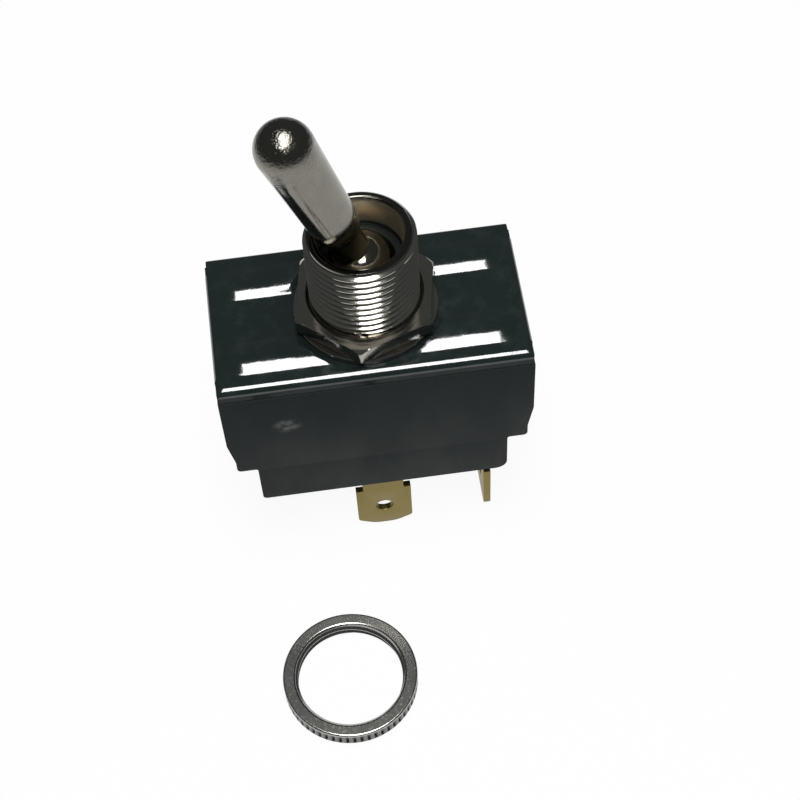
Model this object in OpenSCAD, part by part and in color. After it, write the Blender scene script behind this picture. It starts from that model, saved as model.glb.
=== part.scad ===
// Heavy-duty panel toggle switch: two poles, single throw, quick-connect blades, bat lever.
// The origin is on the bushing axis at the flat top of the frame. +Z points out of the panel.
// The lever is drawn leaning to -X, which tips the inner rocker down at +X and closes both poles.

/* [Frame] */
// Length of the folded frame over its end legs
frame_l = 33.7; // [32.5:0.1:36]
// Depth of the folded frame over its skirts
frame_d = 18.3; // [17.8:0.1:20]
// Sheet thickness
sheet_t = 0.6; // [0.5:0.05:0.7]
// Outside radius of the folds
bend_r = 0.9; // [0.8:0.05:1.2]
// Height of the front and back skirts
skirt_h = 1.65; // [1.4:0.05:2.2]
// Width of the end legs
leg_w = 14; // [10:0.5:15]
// Height of the straight part of a leg
leg_h = 9.8; // [8:0.1:11]
// Height of the crimped end of a leg
crimp_h = 3.4; // [2.5:0.1:4]
// How far the crimped end leans in
crimp_in = 0.6; // [0.3:0.05:0.9]
// How far the plate's corners are cut back beside the legs
corner_cut = 0.15; // [0.1:0.05:0.9]
// Spacing of the two stiffening beads, centre to centre
bead_pitch = 9.8; // [9.4:0.1:10.4]
// Width of a bead at the plate
bead_w = 4.3; // [3:0.1:4.6]
// Height of a bead above the plate
bead_h = 0.65; // [0.4:0.05:0.68]
// Distance from a bead's round end to the end of the frame
bead_margin = 1; // [1:0.1:3]

/* [Base] */
// How far the base's ends lie inside the frame's legs
end_step = 0.05; // [0:0.05:0.2]
// How far the base's faces stand out from the frame's skirts
face_step = 0.1; // [0:0.05:0.3]
// Depth of the shoulders below the frame's top
shoulder_z = 15.1; // [14:0.1:16]
// How far each shoulder overhangs the narrow foot below it
shoulder_w = 2.85; // [2.4:0.05:3.4]
// Depth of the base's underside below the frame's top
base_z = 21.35; // [20.5:0.05:23]
// Corner radius of the foot at the common end
foot_r_left = 0.5; // [0.3:0.1:1.5]
// Corner radius of the foot at the throw end
foot_r_right = 1.3; // [0.3:0.1:1.5]
// Floor thickness
floor_t = 2; // [1.6:0.1:2.4]
// Wall between the contact chamber and the foot's ends
end_wall = 1.55; // [1.2:0.05:1.9]
// Wall between the contact chamber and the front and back faces
side_wall = 1.65; // [1.5:0.05:1.7]
// Width of the ledge that the insulator sheet lies on, at each end
ledge_w = 1.2; // [0.8:0.1:1.4]
// Wall of the base behind the frame's skirts
skirt_wall = 0.6; // [0.5:0.05:0.8]
// Thickness of the insulator sheet
insulator_t = 0.4; // [0.3:0.05:0.5]
// Gap between a cradle and the chamber's side wall
cradle_gap = 0.3; // [0.2:0.05:0.4]

/* [Bushing] */
// Outside radius of the bushing's thread
thread_r = 5.87; // [5.8:0.01:5.95]
// Distance from one thread to the next
thread_pitch = 0.9; // [0.9:0.1:1.8]
// Depth of the thread's grooves
thread_depth = 0.4; // [0.3:0.05:0.45]
// Height of the bushing above the frame
bushing_h = 12.2; // [11.5:0.1:14]
// How far inside the thread's crests the hex nut's thread meets it
thread_mesh = 0.22; // [0.18:0.02:0.3]
// Chamfer at the bushing's top
bushing_chamfer = 0.5; // [0.3:0.05:0.7]
// Radius of the open mouth
mouth_r = 4.5; // [4.4:0.05:4.6]
// Chamfer round the mouth
mouth_chamfer = 0.35; // [0.2:0.05:0.4]
// Height of the mouth's floor above the frame
ledge_z = 8.2; // [8:0.05:8.6]
// Radius of the bushing's flange under the frame
flange_r = 7.4; // [6.8:0.1:7.5]
// Thickness of the flange
flange_t = 1.1; // [0.9:0.1:1.3]
// Radius of the bore at the flange, where the stem swings widest
bore_low_r = 5.1; // [5.05:0.05:5.2]
// Distance from the pivot down to where the bore starts to widen
straight_bore_l = 4; // [3.8:0.1:4.4]

/* [Hardware] */
// Width of the hex nut across its flats
nut_af = 14.29; // [13.5:0.01:15]
// Thickness of the hex nut
nut_t = 2; // [1.6:0.1:3]
// How far the chamfer on the nut's top cuts its corners back
nut_chamfer = 0.5; // [0.2:0.05:1.2]
// Turn of the hex nut on the bushing, in degrees
nut_turn = 20; // [0:1:59]
// Outside radius of the lock washer
washer_r = 7.75; // [7.4:0.05:8]
// Thickness of the lock washer
washer_t = 0.7; // [0.7:0.05:0.9]
// Number of teeth inside the lock washer
washer_teeth = 10; // [6:1:14]
// Outside radius of the knurled face nut
ring_r = 7.53; // [7.2:0.01:8]
// Height of the face nut
ring_h = 2; // [1.6:0.1:2.4]
// Number of grooves in the face nut's knurl
knurl_n = 58; // [40:2:80]
// Depth of the knurl's grooves
knurl_depth = 0.22; // [0.1:0.02:0.3]
// Height of the plain rim above the knurl
ring_rim = 0.4; // [0.3:0.05:0.6]
// Where the face nut lies, across the switch
ring_x = -6.8; // [-10:0.1:10]
// Where the face nut lies, in front of the switch
ring_y = -28.6; // [-40:0.1:-20]

/* [Lever] */
// Height of the lever's pivot above the frame
pivot_z = 7; // [6.9:0.05:7.1]
// Lean of the lever to each side, in degrees
lever_tilt = 18.6; // [16:0.1:18.8]
// Length from the pivot to the centre of the bat's round tip
bat_l = 19.9; // [17:0.1:24]
// Radius of the bat at its tip
bat_tip_r = 3.06; // [2.8:0.02:3.2]
// Radius of the bat at its lower shoulder
bat_low_r = 2.6; // [2.2:0.05:2.65]
// Distance from the pivot to the bat's lower shoulder
bat_low_a = 7.4; // [7.3:0.1:8]
// Radius of the ball
ball_r = 3.65; // [3.6:0.01:3.7]
// Radius of the neck between the ball and the bat
neck_r = 1.9; // [1.7:0.05:2]
// Radius of the stem below the ball
stem_r = 1.9; // [1.8:0.05:1.95]
// Length of the stem below the pivot
stem_l = 13; // [12.6:0.1:13.2]
// Radius of the pivot pin
pin_r = 0.8; // [0.6:0.05:0.8]
// Length of the pivot pin
pin_l = 8.8; // [8.2:0.1:8.9]
// Gap between the pin's ends and the bottoms of its slots
pin_gap = 0.1; // [0.05:0.05:0.15]
// Radius of the plunger
plunger_r = 1.2; // [1:0.05:1.25]
// Distance from the pivot to the centre of the plunger's round tip
plunger_a = 14.8; // [14.6:0.1:15]
// Length of the plunger inside the stem
plunger_grip = 3.4; // [3:0.1:3.8]
// Distance from the pivot to the top of the spring's bore
spring_top_a = 5; // [4.8:0.1:5.4]
// Wire radius of the plunger's spring
wire_r = 0.2; // [0.15:0.01:0.22]
// Turns of the plunger's spring
spring_turns = 5; // [4:1:6]

/* [Rocker] */
// Depth of the rocker's pivot below the frame's top
rocker_z = 15.5; // [15.3:0.05:15.7]
// Tilt of the rocker to each side, in degrees
rocker_tilt = 7; // [6:0.1:7.2]
// Gap between the cam and the cradles beside it
saddle_gap = 0.6; // [0.5:0.05:0.8]
// Width of a contact arm
arm_w = 3; // [2.6:0.1:3.1]
// Thickness of a contact arm
arm_t = 0.8; // [0.6:0.05:0.9]
// Radius of the rolled fulcrum across a contact arm
roll_r = 0.95; // [0.85:0.05:1]
// Distance of the moving contact from the throw blade's middle, along the arm
contact_inset = 3.27; // [3.1:0.01:3.5]
// Radius of the moving contact
contact_r = 1.5; // [1.2:0.1:1.6]
// Height of the moving contact below its arm
contact_h = 0.75; // [0.6:0.05:0.9]
// Radius of the moving contact's domed face
contact_dome = 4; // [3:0.1:6]

/* [Terminals] */
// Thickness of the terminal strip
strip_t = 0.8; // [0.7:0.05:0.9]
// Width of a quick-connect blade
blade_w = 6.35; // [6:0.05:6.6]
// Depth of the blades' tips below the frame's top
tip_z = 31.2; // [30:0.1:33]
// Depth of the blades' shoulders below the frame's top
blade_shoulder_z = 23.9; // [23.4:0.1:24.4]
// Width of a blade's neck
neck_w = 4.7; // [4.2:0.1:5]
// How far a common blade's rounded tip is proud of its corners
tip_rise = 1; // [0.6:0.1:1.4]
// How far a throw blade's rounded tip is proud of its corners
throw_tip_rise = 0.3; // [0.2:0.1:1.4]
// Radius of the corners at a blade's tip
tip_corner_r = 0.5; // [0.3:0.05:0.8]
// Radius of the hole in a blade
blade_hole_r = 1; // [0.8:0.05:1.1]
// Distance from a blade's shoulder to its hole
blade_hole_a = 3.5; // [3.3:0.1:4.2]
// Distance of the common blade's middle from the front or back face
common_inset = 1.05; // [1:0.05:1.3]
// Place of the common blade's middle along the switch
common_x = -0.3; // [-0.5:0.1:0.5]
// Distance of the throw blade's middle from the foot's end
throw_inset = 2.08; // [1.8:0.01:2.2]
// Radius of the terminal rivets' shanks
rivet_r = 1.2; // [1:0.05:1.3]
// Radius of the rivets' heads
rivet_head_r = 1.9; // [1.7:0.05:2]
// Thickness of the rivets' heads
rivet_head_t = 0.8; // [0.6:0.05:1]

/* [Fits] */
// Clearance between pieces that are fastened together
fit_gap = 0.05; // [0.03:0.01:0.06]
// Clearance between pieces that run on each other
run_gap = 0.05; // [0.03:0.01:0.07]

/* [Hidden] */
$fn = 64;
eps = 0.01;
big = 100;

black_steel = "#14261f";
phenolic = "#3d4a4d";
nickel = "#b9b4a8";
brass = "#b8973f";
copper = "#b5713f";
silver = "#d9d9d6";
nylon = "#e6e0cf";
fibre = "#6d5a44";

// Levels, as heights
flange_top = -sheet_t - fit_gap;
flange_low = flange_top - flange_t;
sheet_top = flange_low - fit_gap;
ledge_low = sheet_top - insulator_t - fit_gap;
base_top = -sheet_t - fit_gap;
floor_top = floor_t - base_z;
pivot_low = -rocker_z;

// Body
base_l = frame_l - 2 * end_step;
base_d = frame_d + 2 * face_step;
foot_l = base_l - 2 * shoulder_w;
chamber_l = foot_l - 2 * end_wall;
chamber_d = base_d - 2 * side_wall;
throw_x = foot_l / 2 - throw_inset;
contact_a = throw_x - contact_inset;
pocket_l = chamber_l + 2 * ledge_w;
pocket_d = frame_d - 2 * (sheet_t + fit_gap + skirt_wall);

// Frame
bead_rho = (pow(bead_w / 2, 2) + pow(bead_h, 2)) / (2 * bead_h);
bead_end = frame_l / 2 - bead_margin - bead_w / 2;
bead_pad_r = washer_r + 0.2;
crimp_tip = leg_h + crimp_h;

// Seats round the ball and the pin
mesh_r = thread_r - thread_mesh;
nut_top = washer_t + nut_t;
thread_n = floor((bushing_h - bushing_chamfer - nut_top) / thread_pitch + 0.01);
seat_r = ball_r + run_gap;
slot_half_w = pin_r + run_gap;
slot_depth_r = pin_l / 2 + pin_gap;
straight_bore_z = pivot_z - straight_bore_l;
bat_shoulder_drop = 1.8;
tip_bore_r = plunger_r + run_gap;
plunger_top_a = stem_l - plunger_grip;

// Rocker: the lever's lean a, counted from upright, turns the rocker by rock(a)
cam_steps = 24;
cam_r = plunger_r + run_gap;
cam_over = 0.9;
cam_base_w = 2.6;
cam_low = -1;
bar_half_l = 2.6;
bar_low = arm_t / 2 + fit_gap;
bar_high = 2.2;
peg_x = 1.85;
peg_r = 0.5;
arm_tail = 3.2;
arm_nose = 1.6;
contact_tail_r = 0.7;

// Contacts, cradles and the two poles' places
ear_t = 0.8;
ear_gap = arm_w + 4 * fit_gap;
cradle_w = ear_gap + 2 * ear_t;
pole_pitch = chamber_d - 2 * cradle_gap - cradle_w;
saddle_w = pole_pitch - cradle_w - 2 * saddle_gap;
ear_half_l = 2.2;
roll_l = ear_gap + 2 * ear_t - 0.2;
contact_gap = 0.06;
dome_mid = contact_dome - arm_t / 2 - contact_h;
fixed_x = contact_a * cos(rocker_tilt) + dome_mid * sin(rocker_tilt);
fixed_top = pivot_low - contact_a * sin(rocker_tilt) + dome_mid * cos(rocker_tilt)
    - contact_dome - contact_gap;
fixed_r = 1.6;
foot_bend_r = 1;
foot_end = 2.1;

function rock(a) = -a * rocker_tilt / lever_tilt;

// Centre of the plunger's round tip in the rocker's own frame, for the lever's lean a
function tip_in_rocker(a) =
    let (
        x = -plunger_a * sin(a),
        h = pivot_z - plunger_a * cos(a) - pivot_low,
        r = rock(a)
    )
    [x * cos(r) - h * sin(r), x * sin(r) + h * cos(r)];

// The cam's surface lies one tip radius and one clearance outside that path
function cam_point(a) =
    let (
        d = tip_in_rocker(a - 0.05) - tip_in_rocker(a + 0.05),
        n = [d[1], -d[0]] / norm(d)
    )
    tip_in_rocker(a) + n * cam_r;

cam_end = cam_point(-lever_tilt);
cam_slope = cam_point(-lever_tilt) - cam_point(-lever_tilt + 1);
cam_lip = cam_end + cam_slope / norm(cam_slope) * cam_over;

// Points of a polygon whose corners [x, y, radius] are rounded
function arc_points(p, a, b, r, n = 6) =
    let (
        u = (a - p) / norm(a - p),
        v = (b - p) / norm(b - p),
        half = acos(u * v) / 2,
        c = p + (u + v) / norm(u + v) * r / sin(half),
        s = p + u * r / tan(half) - c,
        turn = (180 - 2 * half) * sign(u[1] * v[0] - u[0] * v[1])
    )
    [for (i = [0:n]) c + [
        s[0] * cos(turn * i / n) - s[1] * sin(turn * i / n),
        s[0] * sin(turn * i / n) + s[1] * cos(turn * i / n)
    ]];

function xy(p) = [p[0], p[1]];

function rounded(pts) = [
    for (i = [0:len(pts) - 1])
        let (
            n = len(pts),
            a = xy(pts[(i + n - 1) % n]),
            p = xy(pts[i]),
            b = xy(pts[(i + 1) % n])
        )
        each (pts[i][2] > 0 ? arc_points(p, a, b, pts[i][2]) : [p])
];

function mirrored(pts) = concat(pts, [for (i = [len(pts) - 1:-1:0]) [-pts[i][0], pts[i][1]]]);

// A profile drawn in X and Z, carried along Y and centred on it
module along_y(w) {
    rotate([90, 0, 0]) linear_extrude(w, center = true) children();
}

// A profile drawn in Y and Z, carried along X and centred on it
module along_x(w) {
    rotate([90, 0, 90]) linear_extrude(w, center = true) children();
}

module bar_y(r, l) {
    rotate([90, 0, 0]) cylinder(r = r, h = l, center = true);
}

module box(x0, x1, y0, y1, z0, z1) {
    translate([x0, y0, z0]) cube([x1 - x0, y1 - y0, z1 - z0]);
}

module lever_pose() {
    translate([0, 0, pivot_z]) rotate([0, -lever_tilt, 0]) children();
}

module rocker_pose() {
    translate([0, 0, pivot_low]) rotate([0, rocker_tilt, 0]) children();
}

// The front pole is drawn as the mirror image of the back pole
module pole(side) {
    mirror([0, side < 0 ? 1 : 0, 0]) children();
}

// ---- Frame ----

// Cross-section of a fold: a slab with two rounded upper corners
module fold_section(half, r, low) {
    translate([-half, low]) square([2 * half, -low - r]);
    translate([r - half, -r - eps]) square([2 * (half - r), r + eps]);
    for (s = [-1, 1]) translate([s * (half - r), -r]) circle(r);
}

module fold_box(inset, low) {
    intersection() {
        along_x(frame_l + 2) fold_section(frame_d / 2 - inset, bend_r - inset, low);
        along_y(frame_d + 2) fold_section(frame_l / 2 - inset, bend_r - inset, low);
    }
}

// A long dome: the plate's bead, or the hollow under it when drop is the sheet's thickness
module bead(drop) {
    r = bead_rho - drop;
    intersection() {
        translate([0, 0, bead_h - bead_rho]) {
            rotate([0, 90, 0]) cylinder(r = r, h = 2 * bead_end, center = true);
            for (s = [-1, 1]) translate([s * bead_end, 0, 0]) sphere(r);
        }
        box(-frame_l / 2, frame_l / 2, -bead_w, bead_w, -drop - eps, bead_h);
    }
}

module beads(drop, pad_r) {
    difference() {
        for (s = [-1, 1]) translate([0, s * bead_pitch / 2, 0]) bead(drop);
        translate([0, 0, -big / 2]) cylinder(r = pad_r, h = big);
    }
}

module leg_crimp(side) {
    outer = frame_l / 2;
    along_y(leg_w) polygon([
        [side * outer, eps - leg_h],
        [side * (outer - sheet_t), eps - leg_h],
        [side * (outer - sheet_t - crimp_in), -crimp_tip],
        [side * (outer - crimp_in), -crimp_tip]
    ]);
}

module frame() {
    color(black_steel) {
        difference() {
            union() {
                fold_box(0, -leg_h);
                beads(0, bead_pad_r);
            }
            translate([0, 0, -sheet_t]) fold_box(sheet_t, -leg_h);
            beads(sheet_t, bead_pad_r - sheet_t / 2);
            intersection() {
                translate([0, 0, -sheet_t]) along_x(frame_l + 2)
                    fold_section(frame_d / 2 - sheet_t, bend_r - sheet_t, -leg_h);
                for (s = [-1, 1])
                    translate([0, s * (leg_w / 2 + big / 2), 0]) cube([big, big, big], center = true);
            }
            for (s = [-1, 1]) {
                box(-big, big, min(s * leg_w / 2, s * big), max(s * leg_w / 2, s * big), -big, -skirt_h);
                for (e = [-1, 1])
                    translate([e * frame_l / 2, s * (leg_w / 2 + big / 2), 0])
                        cube([2 * corner_cut, big, big], center = true);
            }
            translate([0, 0, -2 * sheet_t]) cylinder(r = thread_r + fit_gap, h = 4 * sheet_t);
        }
        for (s = [-1, 1]) leg_crimp(s);
    }
}

// ---- Base ----

// Outline of the base seen from the front: shoulders that draw in below the legs, then a foot
module base_outline() {
    half = base_l / 2;
    foot = foot_l / 2;
    polygon(rounded([
        [-half, base_top, 0.3], [-half, -leg_h, 2], [crimp_in - half, -crimp_tip, 2],
        [crimp_in - half, -shoulder_z, 0.5], [-foot, -shoulder_z, 0.3],
        [-foot, -base_z, foot_r_left], [foot, -base_z, foot_r_right],
        [foot, -shoulder_z, 0.3], [half - crimp_in, -shoulder_z, 0.5],
        [half - crimp_in, -crimp_tip, 2], [half, -leg_h, 2], [half, base_top, 0.3]
    ]));
}

// Outline of the base seen from its end: a plain block, stepped in behind the skirts
module base_section() {
    half = base_d / 2;
    upper = frame_d / 2 - sheet_t - fit_gap;
    step_z = -skirt_h - 2 * fit_gap;
    polygon(rounded(mirrored([
        [upper, base_top, 0.35], [upper, step_z, 0], [half, step_z, 0.15], [half, -base_z, 0.3]
    ])));
}

// The pockets in the base's ends that the legs lie in
module leg_pocket(side) {
    inner = frame_l / 2 - sheet_t - fit_gap;
    fold = bend_r - sheet_t;
    along_y(leg_w + 2 * fit_gap) polygon([
        [side * (inner - fold), 1],
        [side * (inner - fold), base_top],
        [side * inner, base_top - fold],
        [side * inner, -leg_h],
        [side * (inner - crimp_in), -crimp_tip],
        [side * (inner - crimp_in), -crimp_tip - fit_gap],
        [side * big, -crimp_tip - fit_gap],
        [side * big, 1]
    ]);
}

module base() {
    chamber_half = chamber_l / 2;
    side_half = chamber_d / 2;
    color(phenolic) difference() {
        intersection() {
            along_y(base_d + 2) base_outline();
            along_x(base_l + 2) base_section();
        }
        for (s = [-1, 1]) leg_pocket(s);
        box(-chamber_half, chamber_half, -side_half, side_half, floor_top, 1);
        box(-pocket_l / 2, pocket_l / 2, -pocket_d / 2, pocket_d / 2, ledge_low, 1);
        for (s = [-1, 1], x = [0, fixed_x])
            translate([x, s * pole_pitch / 2, -base_z - 1]) cylinder(r = rivet_r + fit_gap, h = floor_t + 2);
    }
}

module insulator_sheet() {
    slot = (pivot_z - ledge_low) * tan(lever_tilt);
    color(fibre) translate([0, 0, sheet_top - insulator_t]) linear_extrude(insulator_t) difference() {
        square([pocket_l - 2 * fit_gap, pocket_d - 2 * fit_gap], center = true);
        square([2 * slot, 2 * stem_r + 1], center = true);
        for (s = [-1, 1]) translate([s * slot, 0]) circle(stem_r + 0.5);
    }
}

// ---- Bushing and its hardware ----

module bushing() {
    top_r = thread_r - bushing_chamfer;
    rim_r = mouth_r + mouth_chamfer;
    groove = thread_depth * tan(30);
    color(nickel) difference() {
        rotate_extrude() polygon(concat(
            [[0, flange_low], [flange_r, flange_low], [flange_r, flange_top], [mesh_r, flange_top],
             [mesh_r, nut_top], [thread_r, nut_top]],
            [for (i = [0:thread_n - 1]) let (z = nut_top + (i + 0.5) * thread_pitch)
                each [[thread_r, z - groove], [thread_r - thread_depth, z], [thread_r, z + groove]]],
            [[thread_r, bushing_h - bushing_chamfer], [top_r, bushing_h], [0, bushing_h]]
        ));
        rotate_extrude() polygon([
            [0, bushing_h + 1], [rim_r, bushing_h + 1], [rim_r, bushing_h],
            [mouth_r, bushing_h - mouth_chamfer], [mouth_r, ledge_z], [0, ledge_z]
        ]);
        translate([0, 0, pivot_z]) sphere(seat_r);
        translate([0, 0, straight_bore_z]) cylinder(r = seat_r, h = pivot_z - straight_bore_z);
        translate([0, 0, flange_low])
            cylinder(r1 = bore_low_r, r2 = seat_r, h = straight_bore_z - flange_low);
        translate([0, 0, flange_low - 1]) cylinder(r = bore_low_r, h = 1 + eps);
        box(-slot_half_w, slot_half_w, -slot_depth_r, slot_depth_r, flange_low - 1, pivot_z);
        translate([0, 0, pivot_z]) bar_y(slot_half_w, 2 * slot_depth_r);
    }
}

module lock_washer() {
    inner = thread_r + fit_gap;
    root = (washer_r + inner) / 2 + 0.1;
    color(nickel) linear_extrude(washer_t) difference() {
        circle(washer_r);
        circle(inner);
        for (i = [0:washer_teeth - 1])
            rotate(i * 360 / washer_teeth) intersection() {
                circle(root);
                polygon([[0, 0], [big, big * tan(90 / washer_teeth)], [big, -big * tan(90 / washer_teeth)]]);
            }
    }
}

module hex_nut() {
    corner_r = nut_af / sqrt(3);
    chamfer_h = nut_chamfer * tan(30);
    color(nickel) translate([0, 0, washer_t]) rotate(nut_turn) difference() {
        intersection() {
            cylinder(r = corner_r, h = nut_t, $fn = 6);
            rotate_extrude() polygon([
                [0, 0], [corner_r, 0], [corner_r, nut_t - chamfer_h], [corner_r - nut_chamfer, nut_t], [0, nut_t]
            ]);
        }
        translate([0, 0, -1]) cylinder(r = mesh_r + fit_gap, h = nut_t + 2);
    }
}

module face_nut() {
    bevel = 0.25;
    bore_r = thread_r + fit_gap;
    color(nickel) translate([ring_x, ring_y, -tip_z]) difference() {
        rotate_extrude() polygon([
            [bore_r, bevel], [bore_r + bevel, 0], [ring_r - bevel, 0], [ring_r, bevel],
            [ring_r, ring_h - bevel], [ring_r - bevel, ring_h], [bore_r + bevel, ring_h], [bore_r, ring_h - bevel]
        ]);
        translate([0, 0, -1]) linear_extrude(ring_h - ring_rim + 1)
            for (i = [0:knurl_n - 1])
                rotate(i * 360 / knurl_n) translate([ring_r, 0]) rotate(45)
                    square(knurl_depth * sqrt(2), center = true);
    }
}

// ---- Lever ----

module bat_lever() {
    tip_drop = 0.9;
    color(nickel) lever_pose() difference() {
        union() {
            rotate_extrude() polygon(concat(
                [[0, 0], [neck_r, 0], [neck_r, bat_low_a - bat_shoulder_drop]],
                [for (i = [0:6]) let (t = i / 6) [
                    neck_r + (bat_low_r - neck_r) * sin(90 * t),
                    bat_low_a - bat_shoulder_drop * cos(90 * t) * (1 - 0.25 * t)
                ]],
                [[bat_tip_r * cos(2), bat_l], [0, bat_l]]
            ));
            translate([0, 0, bat_l]) sphere(bat_tip_r);
            sphere(ball_r);
            translate([0, 0, -stem_l]) cylinder(r = stem_r, h = stem_l);
        }
        translate([0, 0, -stem_l - 1]) cylinder(r = tip_bore_r, h = stem_l + 1 - spring_top_a);
        bar_y(pin_r + 0.02, big);
    }
}

module pivot_pin() {
    color(silver) translate([0, 0, pivot_z]) bar_y(pin_r, pin_l);
}

module plunger() {
    color(brass) lever_pose() translate([0, 0, -plunger_a]) {
        sphere(plunger_r);
        cylinder(r = plunger_r, h = plunger_a - plunger_top_a);
    }
}

// A round wire swept along a helix, with flat cut ends
module coil(mean_r, wire, length, turns, per_turn = 14, sides = 6) {
    n = turns * per_turn;
    rise = length - 2 * wire;
    points = [
        for (i = [0:n], k = [0:sides - 1])
            let (
                a = 360 * i / per_turn,
                b = 360 * k / sides,
                r = mean_r + wire * cos(b)
            )
            [r * cos(a), r * sin(a), wire + rise * i / n + wire * sin(b)]
    ];
    faces = concat(
        [[for (k = [0:sides - 1]) k]],
        [[for (k = [sides - 1:-1:0]) n * sides + k]],
        [for (i = [0:n - 1], k = [0:sides - 1]) let (m = (k + 1) % sides)
            [i * sides + k, (i + 1) * sides + k, (i + 1) * sides + m]],
        [for (i = [0:n - 1], k = [0:sides - 1]) let (m = (k + 1) % sides)
            [i * sides + k, (i + 1) * sides + m, i * sides + m]]
    );
    polyhedron(points, faces);
}

module plunger_spring() {
    play = 0.02;
    color(silver) lever_pose() translate([0, 0, play - plunger_top_a])
        coil(tip_bore_r - wire_r - fit_gap, wire_r, plunger_top_a - spring_top_a - 2 * play, spring_turns);
}

// ---- Rocker ----

module actuator() {
    cam = [for (i = [0:cam_steps]) cam_point(-lever_tilt + 2 * lever_tilt * i / cam_steps)];
    bar_l = pole_pitch + arm_w;
    color(nylon) rocker_pose() {
        along_y(saddle_w) polygon(concat(
            [cam_lip], cam, [[-cam_lip[0], cam_lip[1]]],
            [[-cam_lip[0] - 0.4, cam_lip[1]], [-cam_base_w, cam_low], [cam_base_w, cam_low],
             [cam_lip[0] + 0.4, cam_lip[1]]]
        ));
        box(-bar_half_l, bar_half_l, -bar_l / 2, bar_l / 2, bar_low, bar_high);
        for (s = [-1, 1], x = [-peg_x, peg_x])
            translate([x, s * pole_pitch / 2, -arm_t / 2]) cylinder(r = peg_r, h = arm_t + 1);
    }
}

module contact_arm(side) {
    color(copper) rocker_pose() pole(side) translate([0, pole_pitch / 2, 0]) difference() {
        union() {
            box(-arm_tail, contact_a + arm_nose, -arm_w / 2, arm_w / 2, -arm_t / 2, arm_t / 2);
            intersection() {
                bar_y(roll_r, roll_l);
                box(-big, big, -big, big, -big, arm_t / 2);
            }
        }
        for (x = [-peg_x, peg_x])
            translate([x, 0, -big / 2]) cylinder(r = peg_r + fit_gap, h = big);
        translate([contact_a, 0, -big / 2]) cylinder(r = contact_tail_r + fit_gap, h = big);
    }
}

module moving_contact(side) {
    color(silver) rocker_pose() pole(side) translate([contact_a, pole_pitch / 2, 0]) {
        intersection() {
            translate([0, 0, -arm_t / 2 - contact_h]) cylinder(r = contact_r, h = contact_h);
            translate([0, 0, dome_mid]) sphere(contact_dome);
        }
        translate([0, 0, -arm_t / 2 - eps]) cylinder(r = contact_tail_r, h = arm_t + 0.2);
    }
}

// ---- Fixed contacts and terminals ----

module cradle(side) {
    color(copper) pole(side) translate([0, pole_pitch / 2, 0]) difference() {
        union() {
            box(-ear_half_l, ear_half_l, -ear_gap / 2 - ear_t, ear_gap / 2 + ear_t,
                floor_top, floor_top + strip_t);
            for (s = [-1, 1])
                translate([0, s * (ear_gap + ear_t) / 2, (floor_top + pivot_low) / 2])
                    cube([2 * ear_half_l, ear_t, pivot_low - floor_top], center = true);
        }
        translate([0, 0, pivot_low]) bar_y(roll_r + run_gap, big);
        translate([0, 0, floor_top - 1]) cylinder(r = rivet_r + fit_gap, h = strip_t + 2);
    }
}

module common_rivet(side) {
    top = floor_top + strip_t;
    foot_low = -base_z - strip_t;
    color(brass) pole(side) translate([0, pole_pitch / 2, 0]) {
        translate([0, 0, foot_low - rivet_head_t]) cylinder(r = rivet_head_r, h = rivet_head_t);
        translate([0, 0, foot_low - eps]) cylinder(r = rivet_r, h = top - foot_low + 2 * eps);
        translate([0, 0, top]) cylinder(r = rivet_head_r - 0.3, h = rivet_head_t);
    }
}

module fixed_contact(side) {
    foot_low = -base_z - strip_t;
    color(silver) pole(side) translate([fixed_x, pole_pitch / 2, 0]) {
        translate([0, 0, foot_low - rivet_head_t]) cylinder(r = rivet_head_r, h = rivet_head_t);
        translate([0, 0, foot_low - eps]) cylinder(r = rivet_r, h = floor_top - foot_low + 2 * eps);
        translate([0, 0, floor_top]) cylinder(r = fixed_r, h = fixed_top - floor_top);
    }
}

// A blade that hangs from the fold at the origin of its own plane, seen from its flat side
module blade_outline(rise) {
    shoulder = -blade_shoulder_z;
    tip = -tip_z;
    half = blade_w / 2;
    difference() {
        union() {
            translate([-neck_w / 2, shoulder - eps]) square([neck_w, -base_z - foot_bend_r - shoulder + eps]);
            polygon(rounded([
                [half, shoulder, 0], [-half, shoulder, 0], [-half, tip + rise, tip_corner_r],
                [-0.4 * half, tip, 3], [0.4 * half, tip, 3], [half, tip + rise, tip_corner_r]
            ]));
        }
        translate([0, shoulder - blade_hole_a]) circle(blade_hole_r);
    }
}

// The strip's foot and its fold, drawn in the plane across the fold: the blade's outer face is at 0
module foot_fold(foot_w, foot_reach) {
    top = -base_z;
    low = -base_z - foot_bend_r;
    along_y(foot_w) {
        translate([foot_bend_r, top - strip_t]) square([foot_reach - foot_bend_r, strip_t]);
        intersection() {
            translate([0, low]) square([foot_bend_r, foot_bend_r]);
            difference() {
                translate([foot_bend_r, low]) circle(foot_bend_r);
                translate([foot_bend_r, low]) circle(foot_bend_r - strip_t);
            }
        }
    }
}

module common_terminal(side) {
    outer = base_d / 2 - common_inset + strip_t / 2;
    reach = outer - pole_pitch / 2 + foot_end;
    color(brass) pole(side) difference() {
        translate([common_x, outer, 0]) {
            translate([0, -strip_t / 2, 0]) along_y(strip_t) blade_outline(tip_rise);
            rotate(-90) foot_fold(neck_w, reach);
        }
        translate([0, pole_pitch / 2, -base_z - 2 * strip_t]) cylinder(r = rivet_r + fit_gap, h = 4 * strip_t);
    }
}

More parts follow.
